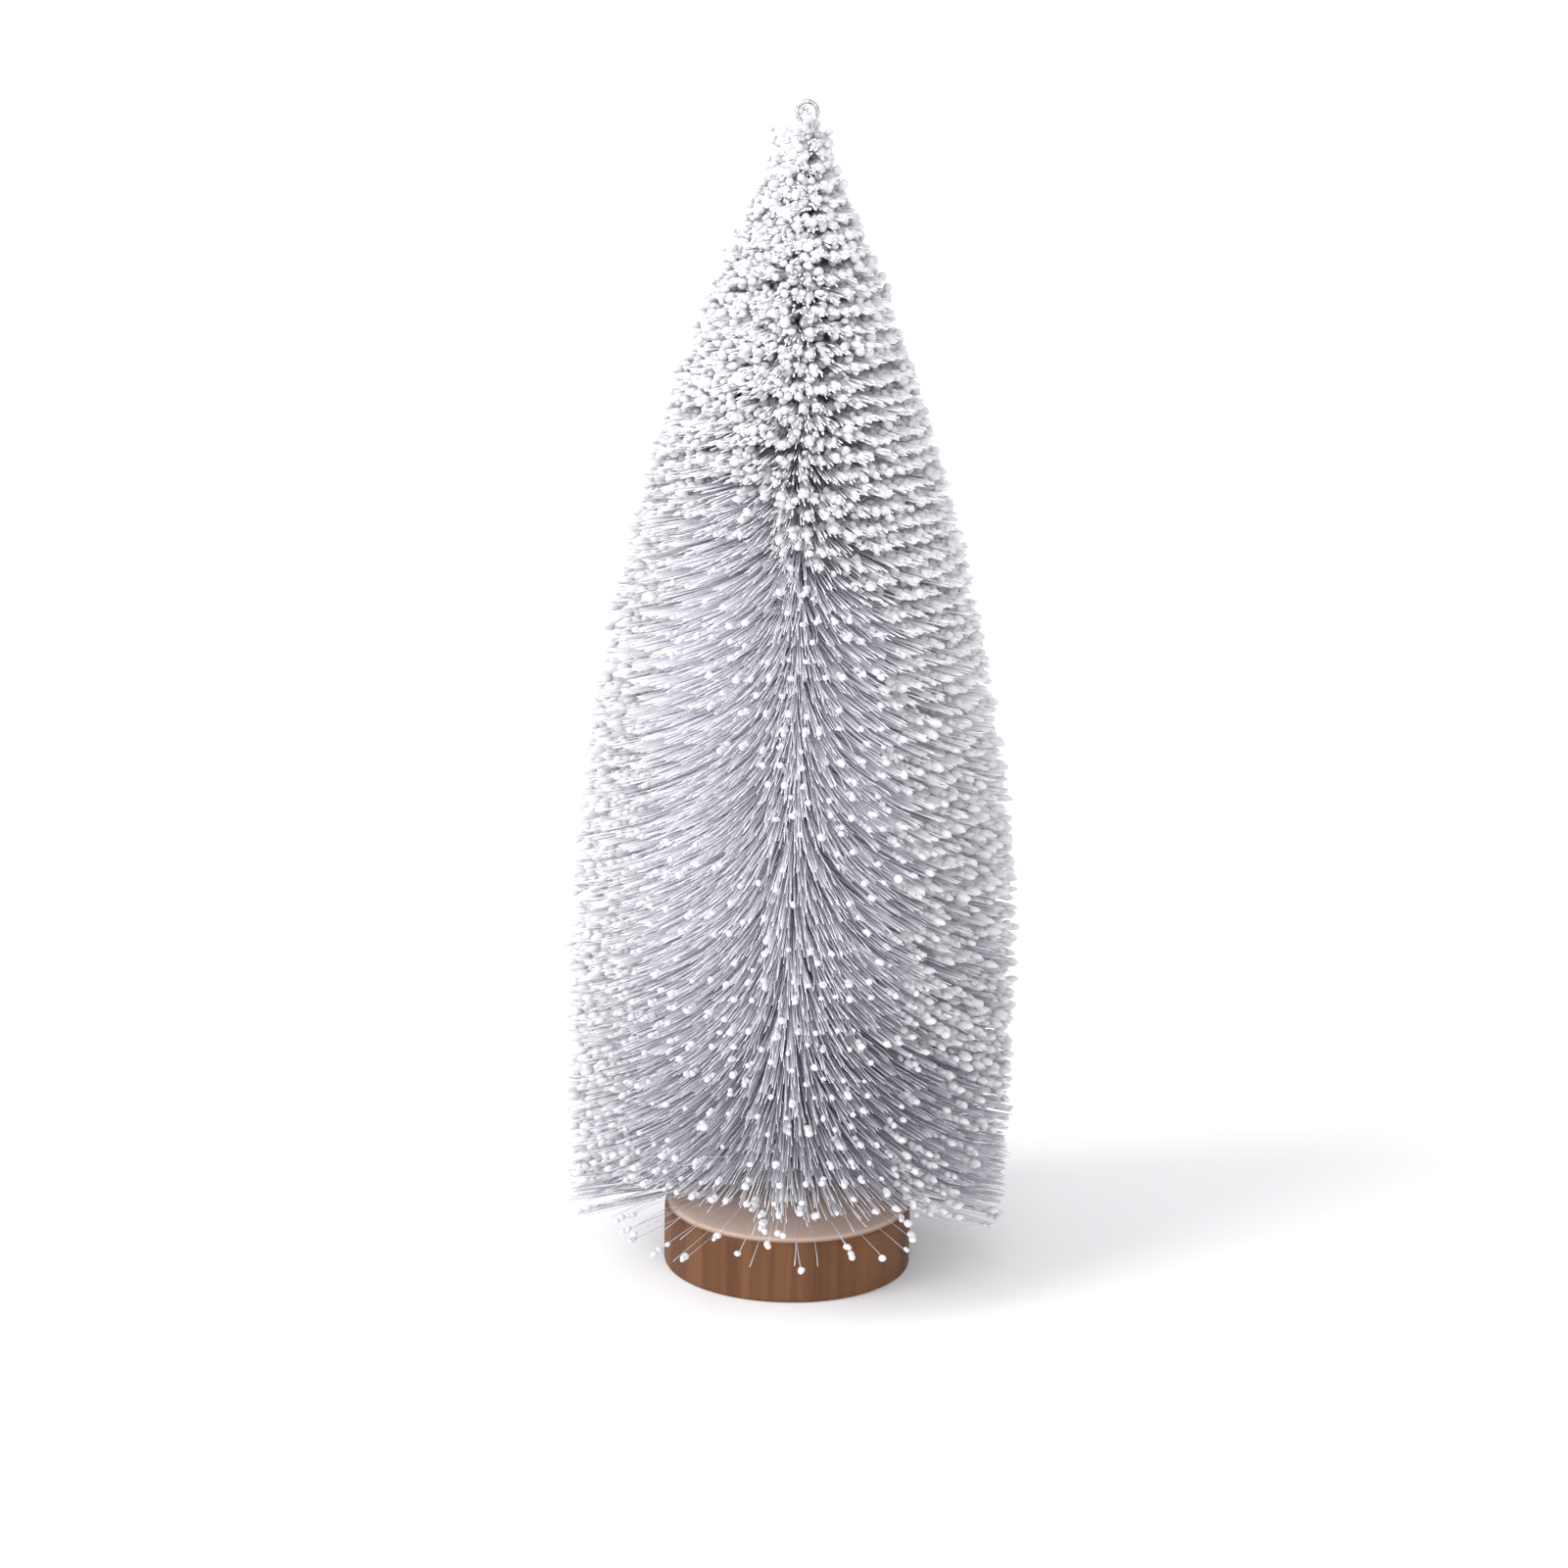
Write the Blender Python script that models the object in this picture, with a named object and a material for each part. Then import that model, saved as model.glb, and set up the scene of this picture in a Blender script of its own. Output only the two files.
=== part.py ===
"""Artificial tabletop tree: a twisted-wire brush cone standing in a turned wooden foot.

Metres, +Z up. The origin is the middle of the foot's underside, where the tree stands on a table.
One wire is folded in half. Its two legs are twisted together, and the twist traps bristle filaments
that cross the stem, so they stand out in a two-start spiral. The fold is left open as a small eye.
"""
import math

import bmesh
import bpy

# Overall sizes
TREE_HEIGHT = 0.300
BRUSH_RADIUS = 0.0550

# Turned wooden foot
FOOT_DIAMETER = 0.064
FOOT_HEIGHT = 0.017
FOOT_TOP_EDGE_RADIUS = 0.0024
FOOT_BOTTOM_EDGE_RADIUS = 0.0010
FOOT_SEGMENTS = 56
EDGE_ARC_STEPS = 4

# Folded and twisted wire
WIRE_DIAMETER = 0.0012
LEG_GAP = 0.0009
EYE_OUTER_DIAMETER = 0.0063
EYE_HEIGHT = 0.0062
EYE_NECK_ANGLE = math.radians(50.0)
TWIST_EASE_LENGTH = 0.0040
WIRE_POINTS_PER_TURN = 7
EYE_ARC_STEPS = 16
NECK_STEPS = 3

# Brush of bristle filaments
BRUSH_TURNS = 33
BRUSH_CLEAR_OF_FOOT = 0.0065
BRUSH_TOP_RADIUS = 0.0036
BRUSH_STRAIGHT_LENGTH = 0.060
BRUSH_SHOULDER = 1.85
TIP_DROP = 0.0045
TIP_DROP_AT_BOTTOM = 0.0100
DROOP_LENGTH = 0.060
LEVELS_PER_TURN = 16

# Glue, hole and flock
HOLE_DEPTH = 0.0120
GLUE_WALL = 0.0008
GLUE_BEAD_OVERHANG = 0.0022
GLUE_BEAD_HEIGHT = 0.0016
GLUE_SEGMENTS = 24
FLOCK_THICKNESS = 0.0014

# Fit between pieces that touch
CLEARANCE = 0.0003

# Derived places and sizes
WIRE_RADIUS = WIRE_DIAMETER / 2
LEG_OFFSET = WIRE_RADIUS + LEG_GAP / 2
STEM_RADIUS = LEG_OFFSET + WIRE_RADIUS
EYE_BOTTOM = TREE_HEIGHT - EYE_HEIGHT
BRUSH_TOP = EYE_BOTTOM - CLEARANCE
BRUSH_BOTTOM = FOOT_HEIGHT + BRUSH_CLEAR_OF_FOOT
TWIST_PITCH = (BRUSH_TOP - BRUSH_BOTTOM) / BRUSH_TURNS
HOLE_BOTTOM = FOOT_HEIGHT - HOLE_DEPTH
GLUE_BORE_RADIUS = STEM_RADIUS + CLEARANCE
GLUE_RADIUS = GLUE_BORE_RADIUS + GLUE_WALL
HOLE_RADIUS = GLUE_RADIUS + CLEARANCE


def clear_scene():
    """Start from an empty scene."""
    for thing in list(bpy.data.objects):
        bpy.data.objects.remove(thing, do_unlink=True)


def surface(name, colour, roughness, metallic=0.0):
    """A Principled material with one colour."""
    material = bpy.data.materials.new(name)
    material.use_nodes = True
    shader = material.node_tree.nodes["Principled BSDF"]
    shader.inputs["Base Color"].default_value = (*colour, 1.0)
    shader.inputs["Roughness"].default_value = roughness
    shader.inputs["Metallic"].default_value = metallic
    return material


def place(name, data, material):
    """Put a mesh or a curve in the scene as a named object."""
    thing = bpy.data.objects.new(name, data)
    data.materials.append(material)
    bpy.context.scene.collection.objects.link(thing)
    return thing


def smooth(mesh):
    """Shade a round piece smooth, and keep its real edges sharp."""
    mesh.shade_smooth()
    mesh.set_sharp_from_angle(angle=math.radians(40.0))


def turned(name, outline, segments):
    """Turn a closed outline of (radius, height) points about Z.

    The outline runs from the underside outwards and up. A point at radius 0 is on the axis.
    """
    work = bmesh.new()
    rings = []
    for radius, height in outline:
        if radius == 0.0:
            rings.append([work.verts.new((0.0, 0.0, height))])
            continue
        ring = []
        for step in range(segments):
            angle = math.tau * step / segments
            ring.append(work.verts.new((radius * math.cos(angle), radius * math.sin(angle), height)))
        rings.append(ring)
    for lower, upper in zip(rings, rings[1:] + rings[:1]):
        if len(lower) == 1 and len(upper) == 1:
            continue
        for step in range(segments):
            following = (step + 1) % segments
            if len(lower) == 1:
                work.faces.new((lower[0], upper[following], upper[step]))
            elif len(upper) == 1:
                work.faces.new((lower[step], lower[following], upper[0]))
            else:
                work.faces.new((lower[step], lower[following], upper[following], upper[step]))
    bmesh.ops.recalc_face_normals(work, faces=work.faces)
    mesh = bpy.data.meshes.new(name)
    work.to_mesh(mesh)
    work.free()
    smooth(mesh)
    return mesh


def arc(centre_radius, centre_height, radius, start, end, steps):
    """Points of an arc in the (radius, height) plane, both ends included."""
    points = []
    for step in range(steps + 1):
        angle = start + (end - start) * step / steps
        points.append((centre_radius + radius * math.cos(angle), centre_height + radius * math.sin(angle)))
    return points


def build_foot():
    """Turned disc with softened edges and a blind hole for the stem in its top."""
    outer = FOOT_DIAMETER / 2
    bottom = FOOT_BOTTOM_EDGE_RADIUS
    top = FOOT_TOP_EDGE_RADIUS
    quarter = math.pi / 2
    outline = [(0.0, 0.0)]
    outline += arc(outer - bottom, bottom, bottom, -quarter, 0.0, EDGE_ARC_STEPS - 1)
    outline += arc(outer - top, FOOT_HEIGHT - top, top, 0.0, quarter, EDGE_ARC_STEPS)
    outline += [(HOLE_RADIUS, FOOT_HEIGHT), (HOLE_RADIUS, HOLE_BOTTOM), (0.0, HOLE_BOTTOM)]
    wood = surface("cross_cut_wood", (0.42, 0.25, 0.15), 0.62)
    place("wood_foot", turned("wood_foot", outline, FOOT_SEGMENTS), wood)


def twist_angle(height):
    """Angle of the first wire leg about Z, from +X, at a height on the stem.

    The twist is even up to just below the eye, where it eases out so that both legs rise
    straight into the eye, in the XZ plane.
    """
    rate = math.tau / TWIST_PITCH
    ease_start = EYE_BOTTOM - TWIST_EASE_LENGTH
    if height <= ease_start:
        return rate * (height - ease_start) - rate * TWIST_EASE_LENGTH / 2
    left = EYE_BOTTOM - height
    return -rate * left * left / (2 * TWIST_EASE_LENGTH)


def leg_point(height, side):
    """Centre of one wire leg at a height. Side is 1 for the first leg and -1 for the second."""
    angle = twist_angle(height)
    return (side * LEG_OFFSET * math.cos(angle), side * LEG_OFFSET * math.sin(angle), height)


def eye_points():
    """Centre line of the eye, from the first leg over the top to the second leg."""
    radius = EYE_OUTER_DIAMETER / 2 - WIRE_RADIUS
    centre = TREE_HEIGHT - WIRE_RADIUS - radius
    neck_end_x = radius * math.cos(EYE_NECK_ANGLE)
    neck_end_z = centre - radius * math.sin(EYE_NECK_ANGLE)
    reach = neck_end_z - EYE_BOTTOM
    neck = []
    for step in range(NECK_STEPS):
        t = step / NECK_STEPS
        start_weight = (1 + 2 * t) * (1 - t) ** 2
        end_weight = t * t * (3 - 2 * t)
        rise_in = t * (1 - t) ** 2 * reach
        rise_out = t * t * (t - 1) * reach
        x = start_weight * LEG_OFFSET + end_weight * neck_end_x + rise_out * math.sin(EYE_NECK_ANGLE)
        z = start_weight * EYE_BOTTOM + end_weight * neck_end_z + rise_in + rise_out * math.cos(EYE_NECK_ANGLE)
        neck.append((x, 0.0, z))
    ring = []
    for x, z in arc(0.0, centre, radius, -EYE_NECK_ANGLE, math.pi + EYE_NECK_ANGLE, EYE_ARC_STEPS):
        ring.append((x, 0.0, z))
    far_neck = [(-x, y, z) for x, y, z in reversed(neck)]
    return neck + ring + far_neck


def build_wire():
    """One wire: up one twisted leg, round the eye and down the other leg."""
    stem_end = HOLE_BOTTOM + WIRE_RADIUS + CLEARANCE
    length = EYE_BOTTOM - stem_end
    steps = round(length / TWIST_PITCH * WIRE_POINTS_PER_TURN)
    heights = [stem_end + length * step / steps for step in range(steps)]
    points = [leg_point(height, 1) for height in heights]
    points += eye_points()
    points += [leg_point(height, -1) for height in reversed(heights)]
    curve = bpy.data.curves.new("twisted_wire_stem", "CURVE")
    curve.dimensions = "3D"
    curve.twist_mode = "MINIMUM"
    curve.bevel_depth = WIRE_RADIUS
    curve.bevel_resolution = 1
    curve.use_fill_caps = True
    spline = curve.splines.new("POLY")
    spline.points.add(len(points) - 1)
    for target, point in zip(spline.points, points):
        target.co = (*point, 1.0)
    spline.use_smooth = True
    wire = surface("galvanised_wire", (0.52, 0.53, 0.54), 0.38, 1.0)
    place("twisted_wire_stem", curve, wire)


def build_glue():
    """Hot-melt glue: a sleeve round the stem in the hole, with a domed bead on the foot's top."""
    seat = FOOT_HEIGHT + CLEARANCE
    outer = HOLE_RADIUS + GLUE_BEAD_OVERHANG
    outline = [(GLUE_BORE_RADIUS, HOLE_BOTTOM + CLEARANCE), (GLUE_RADIUS, HOLE_BOTTOM + CLEARANCE)]
    outline += [(GLUE_RADIUS, seat), (outer, seat)]
    for step in range(1, EDGE_ARC_STEPS + 1):
        angle = math.pi / 2 * step / EDGE_ARC_STEPS
        radius = GLUE_BORE_RADIUS + (outer - GLUE_BORE_RADIUS) * math.cos(angle)
        outline.append((radius, seat + GLUE_BEAD_HEIGHT * math.sin(angle)))
    glue = surface("hot_melt_glue", (0.80, 0.78, 0.70), 0.35)
    place("glue_sleeve", turned("glue_sleeve", outline, GLUE_SEGMENTS), glue)


def brush_radius(height):
    """Reach of the filament tips at the height where the tips are.

    It is a blunt-nosed cone that swells to its full radius above a straight lower stretch.
    """
    swell_length = BRUSH_TOP - BRUSH_BOTTOM - BRUSH_STRAIGHT_LENGTH
    along = min(1.0, (BRUSH_TOP - height) / swell_length)
    swell = 1.0 - (1.0 - along) ** BRUSH_SHOULDER
    return BRUSH_TOP_RADIUS + (BRUSH_RADIUS - BRUSH_TOP_RADIUS) * swell


def tip_drop(height):
    """How far the filament tips hang below their roots.

    It grows with the reach of the filaments. The lowest rows have nothing under them and hang most.
    """
    above = (height - BRUSH_BOTTOM) / DROOP_LENGTH
    extra = (TIP_DROP_AT_BOTTOM - TIP_DROP) * max(0.0, 1.0 - above) ** 2
    return TIP_DROP * brush_radius(height) / BRUSH_RADIUS + extra


def bristle_ring(height):
    """Section of the filament fan at one root height, ten points anticlockwise.

    Seen from above it is a bow tie: narrow where it passes between the wire legs, and spread by
    one level of twist on each side. Its tips hang below its roots.
    """
    spread = math.pi / LEVELS_PER_TURN
    waist = LEG_GAP / 2 - CLEARANCE
    neck = (waist + STEM_RADIUS * math.tan(spread)) / 2
    drop = tip_drop(height)
    reach = brush_radius(height - drop)
    half = []
    half.append((STEM_RADIUS, -neck, height))
    half.append((reach * math.cos(spread), -reach * math.sin(spread), height - drop))
    half.append((reach * math.cos(spread), reach * math.sin(spread), height - drop))
    half.append((STEM_RADIUS, neck, height))
    half.append((0.0, waist, height))
    far_half = [(-x, -y, z) for x, y, z in half]
    turn = twist_angle(height) + math.pi / 2
    ring = []
    for x, y, z in half + far_half:
        ring.append((x * math.cos(turn) - y * math.sin(turn), x * math.sin(turn) + y * math.cos(turn), z))
    return ring


def bristle_turn_mesh(name, bottom, top):
    """One whole turn of the two-start fan of filaments, as a closed twisted solid.

    A wall between two levels is split so that its crease runs from root below to tip above, and
    round the rim from side to side, which keeps the fan the same thickness all over.
    """
    work = bmesh.new()
    rings = []
    for level in range(LEVELS_PER_TURN + 1):
        height = bottom + (top - bottom) * level / LEVELS_PER_TURN
        rings.append([work.verts.new(point) for point in bristle_ring(height)])
    count = len(rings[0])
    for lower, upper in zip(rings, rings[1:]):
        for corner in range(count):
            following = (corner + 1) % count
            if corner % 5 in (1, 2):
                work.faces.new((lower[corner], lower[following], upper[corner]))
                work.faces.new((lower[following], upper[following], upper[corner]))
            else:
                work.faces.new((lower[corner], lower[following], upper[following]))
                work.faces.new((lower[corner], upper[following], upper[corner]))
    for ring, outwards in ((rings[0], -1), (rings[-1], 1)):
        left, right = ring[0:5], ring[5:10]
        caps = [(left[0], left[1], left[2], left[3]), (right[0], right[1], right[2], right[3])]
        caps.append((right[4], left[0], left[3], left[4], right[0], right[3]))
        for cap in caps:
            work.faces.new(cap if outwards > 0 else tuple(reversed(cap)))
    bmesh.ops.triangulate(work, faces=work.faces)
    mesh = bpy.data.meshes.new(name)
    work.to_mesh(mesh)
    work.free()
    return mesh


def build_brush():
    """All the turns of the brush, from the lowest one up, with a clearance between neighbours."""
    for number in range(1, BRUSH_TURNS + 1):
        name = f"bristle_turn_{number:02d}"
        bottom = BRUSH_BOTTOM + TWIST_PITCH * (number - 1) + CLEARANCE / 2
        top = BRUSH_BOTTOM + TWIST_PITCH * number - CLEARANCE / 2
        fibre = surface(f"white_bristle_{number:02d}", (0.62, 0.61, 0.66), 0.60)
        place(name, bristle_turn_mesh(name, bottom, top), fibre)


def build_flock():
    """Clump of snow flock caught in the eye: a thick lens that clears the wire all round."""
    inner = EYE_OUTER_DIAMETER / 2 - WIRE_DIAMETER - CLEARANCE
    outline = [(0.0, -FLOCK_THICKNESS / 2)]
    for step in range(1, EDGE_ARC_STEPS * 2):
        angle = -math.pi / 2 + math.pi * step / (EDGE_ARC_STEPS * 2)
        outline.append((inner * math.cos(angle), FLOCK_THICKNESS / 2 * math.sin(angle)))
    outline.append((0.0, FLOCK_THICKNESS / 2))
    flock = surface("snow_flock", (0.90, 0.90, 0.92), 0.90)
    clump = place("flock_in_eye", turned("flock_in_eye", outline, GLUE_SEGMENTS), flock)
    clump.location = (0.0, 0.0, TREE_HEIGHT - EYE_OUTER_DIAMETER / 2)
    clump.rotation_euler = (math.pi / 2, 0.0, 0.0)


clear_scene()
build_foot()
build_wire()
build_glue()
build_brush()
build_flock()
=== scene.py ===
import math

import bmesh
import bpy
import numpy as np
from mathutils import Matrix, Vector


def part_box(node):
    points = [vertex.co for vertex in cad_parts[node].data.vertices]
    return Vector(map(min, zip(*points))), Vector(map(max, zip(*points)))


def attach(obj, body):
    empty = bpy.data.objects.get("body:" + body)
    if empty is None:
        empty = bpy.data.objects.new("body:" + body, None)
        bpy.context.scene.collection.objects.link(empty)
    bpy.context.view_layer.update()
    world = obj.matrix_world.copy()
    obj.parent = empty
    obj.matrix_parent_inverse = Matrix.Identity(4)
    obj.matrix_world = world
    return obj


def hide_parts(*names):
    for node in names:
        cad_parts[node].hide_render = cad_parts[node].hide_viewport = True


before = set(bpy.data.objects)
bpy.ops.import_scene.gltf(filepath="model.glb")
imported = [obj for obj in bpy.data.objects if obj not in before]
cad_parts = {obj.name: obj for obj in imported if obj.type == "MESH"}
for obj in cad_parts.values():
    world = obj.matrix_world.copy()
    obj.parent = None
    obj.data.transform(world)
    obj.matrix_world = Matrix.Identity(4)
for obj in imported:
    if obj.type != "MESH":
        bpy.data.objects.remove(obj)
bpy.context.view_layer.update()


# The tree stands on a plain pale table in soft studio light. The stronger light comes from high
# on the left, so the left of the brush is bright and the right shows the grooves between rows.
# The camera looks down a little, so the top of the foot just shows under the lowest bristles.
camera_place = (-0.0028, -1.0, 0.3832)
look_down = math.radians(14.32)
head_tilt = math.radians(1.0)
camera_data = bpy.data.cameras.new("camera")
camera_data.lens = 93.4
camera_data.sensor_width = 36.0
camera_data.clip_start = 0.05
camera_data.clip_end = 50.0
camera = bpy.data.objects.new("camera", camera_data)
bpy.context.scene.collection.objects.link(camera)
camera.matrix_world = (
    Matrix.Translation(camera_place)
    @ Matrix.Rotation(math.pi / 2 - look_down, 4, "X")
    @ Matrix.Rotation(head_tilt, 4, "Z")
)
bpy.context.scene.camera = camera
bpy.context.scene.view_settings.view_transform = "Standard"

table_reach = 12.0
table_colour = (0.96, 0.96, 0.965, 1)
table_top = bpy.data.meshes.new("table_top")
table_corners = [(-table_reach, -table_reach, 0), (table_reach, -table_reach, 0)]
table_corners += [(table_reach, table_reach, 0), (-table_reach, table_reach, 0)]
table_top.from_pydata(table_corners, [], [(0, 1, 2, 3)])
table_paint = bpy.data.materials.new("pale_table")
table_paint.use_nodes = True
paint_shader = table_paint.node_tree.nodes["Principled BSDF"]
paint_shader.inputs["Base Color"].default_value = table_colour
paint_shader.inputs["Roughness"].default_value = 0.7
table_top.materials.append(table_paint)
table = bpy.data.objects.new("table", table_top)
bpy.context.scene.collection.objects.link(table)

studio = bpy.data.worlds.new("studio")
studio.use_nodes = True
room_light = studio.node_tree.nodes["Background"]
room_light.inputs["Color"].default_value = (0.975, 0.98, 1.0, 1)
room_light.inputs["Strength"].default_value = 0.84
bpy.context.scene.world = studio


def soft_light(name, place, spread, power):
    """A broad, far studio light that points at the tree from the direction of a place."""
    light = bpy.data.lights.new(name, "SUN")
    light.angle = math.radians(spread)
    light.energy = power
    lamp = bpy.data.objects.new(name, light)
    lamp.location = place
    lamp.rotation_euler = (-Vector(place)).to_track_quat("-Z", "Y").to_euler()
    bpy.context.scene.collection.objects.link(lamp)


soft_light("left_soft_light", (-1.35, -0.75, 1.05), 35.0, 2.35)
soft_light("front_fill", (0.15, -1.50, 0.80), 40.0, 0.95)


# The foot is a disc of light brown wood, turned round and sanded, with its edges eased. A pale
# sawn face shows on top, painted lighter still as painted light against the brush's shade, and
# upright grain runs round its side. A blind hole takes the stem.
def put(name, mesh, material, slot, *stands_for):
    """Add a finished piece to the tree. It stands for the named CAD nodes."""
    mesh.materials.append(material)
    piece = bpy.data.objects.new(name, mesh)
    bpy.context.scene.collection.objects.link(piece)
    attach(piece, "root")
    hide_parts(*stands_for)
    return piece


class Recipe:
    """One material, and the few steps that wire up its nodes."""

    def __init__(self, name):
        self.material = bpy.data.materials.new(name)
        self.material.use_nodes = True
        self.tree = self.material.node_tree
        self.shader = self.tree.nodes["Principled BSDF"]

    def node(self, kind, settings=None, **inputs):
        made = self.tree.nodes.new(kind)
        for key, value in (settings or {}).items():
            setattr(made, key, value)
        for key, value in inputs.items():
            self.feed(made, key.replace("_", " "), value)
        return made

    def feed(self, node, key, value):
        socket = node.inputs[int(key)] if key.isdigit() else node.inputs[key]
        if isinstance(value, bpy.types.NodeSocket):
            self.tree.links.new(value, socket)
        else:
            socket.default_value = value

    def maths(self, operation, first, second=0.0):
        made = self.tree.nodes.new("ShaderNodeMath")
        made.operation = operation
        self.feed(made, "0", first)
        self.feed(made, "1", second)
        return made.outputs[0]

    def ramp(self, value, *stops):
        made = self.tree.nodes.new("ShaderNodeValToRGB")
        while len(made.color_ramp.elements) < len(stops):
            made.color_ramp.elements.new(0.5)
        for element, (place, colour) in zip(made.color_ramp.elements, stops):
            element.position = place
            element.color = (*colour, 1)
        self.feed(made, "0", value)
        return made.outputs[0]

    def blend(self, amount, first, second, how="MIX"):
        made = self.tree.nodes.new("ShaderNodeMix")
        made.data_type = "RGBA"
        made.blend_type = how
        self.feed(made, "0", amount)
        self.feed(made, "6", first)
        self.feed(made, "7", second)
        return made.outputs[2]

    def finish(self, **inputs):
        for key, value in inputs.items():
            self.feed(self.shader, key.replace("_", " "), value)
        return self.material


def revolve(name, outline, segments, wobble=None):
    """Turn a closed (radius, height) outline about Z. Wobble moves each point a little."""
    work = bmesh.new()
    rings = []
    for radius, height in outline:
        count = 1 if radius == 0.0 else segments
        ring = []
        for step in range(count):
            angle = math.tau * step / segments
            point = Vector((radius * math.cos(angle), radius * math.sin(angle), height))
            ring.append(work.verts.new(wobble(point) if wobble else point))
        rings.append(ring)
    for lower, upper in zip(rings, rings[1:] + rings[:1]):
        for step in range(segments):
            after = (step + 1) % segments
            corners = [lower[step % len(lower)], lower[after % len(lower)]]
            corners += [upper[after % len(upper)], upper[step % len(upper)]]
            corners = list(dict.fromkeys(corners))
            if len(corners) > 2:
                work.faces.new(corners)
    bmesh.ops.recalc_face_normals(work, faces=work.faces)
    mesh = bpy.data.meshes.new(name)
    work.to_mesh(mesh)
    work.free()
    mesh.shade_smooth()
    return mesh


foot_low, foot_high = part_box("wood_foot")
foot_radius = (foot_high.x - foot_low.x) / 2
foot_height = foot_high.z
top_edge = 0.0024
bottom_edge = 0.0010
fit_gap = 0.0003
glue_low, glue_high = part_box("glue_sleeve")
hole_radius = 0.0032
hole_edge = 0.0004
hole_bottom = glue_low.z - fit_gap
growth_rings_per_metre = 260.0
middle_from_pith = (-0.019, 0.011, 0.0)
# Pale sawn-face colour, made lighter than the wood's own face as painted light on the shaded top.
sawn_face_and_painted_light_colour = (0.93, 0.70, 0.57, 1.0)


def foot_outline():
    """Section of the disc: eased edges, with rings across its faces that sanding can dish."""
    points = [(0.0, 0.0)]
    points += [(foot_radius * share, 0.0) for share in (0.35, 0.7)]
    for step in range(6):
        turn = -math.pi / 2 + math.pi / 2 * step / 5
        radius = foot_radius - bottom_edge * (1 - math.cos(turn))
        points.append((radius, bottom_edge * (1 + math.sin(turn))))
    points += [(foot_radius, foot_height * share) for share in (0.25, 0.45, 0.65)]
    for step in range(9):
        turn = math.pi / 2 * step / 8
        radius = foot_radius - top_edge * (1 - math.cos(turn))
        points.append((radius, foot_height - top_edge * (1 - math.sin(turn))))
    points += [(foot_radius * share, foot_height) for share in (0.85, 0.75, 0.65, 0.55, 0.45, 0.35, 0.25)]
    points += [(hole_radius + hole_edge, foot_height), (hole_radius, foot_height - hole_edge)]
    points += [(hole_radius, hole_bottom), (0.0, hole_bottom)]
    return points


def hand_sanded(point):
    """Sanding leaves the disc a few hundredths of a millimetre out of true."""
    angle = math.atan2(point.y, point.x)
    radius = math.hypot(point.x, point.y)
    if radius < hole_radius * 2 or point.z <= 0.0:
        return point
    out_of_round = 0.00006 * math.sin(3 * angle + 0.8) + 0.00003 * math.sin(11 * angle)
    dish = 0.00004 * math.sin(5 * angle + radius * 300) if point.z > foot_height * 0.8 else 0.0
    shrink = 1 - abs(out_of_round) / foot_radius
    return Vector((point.x * shrink, point.y * shrink, point.z - abs(dish)))


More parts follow.
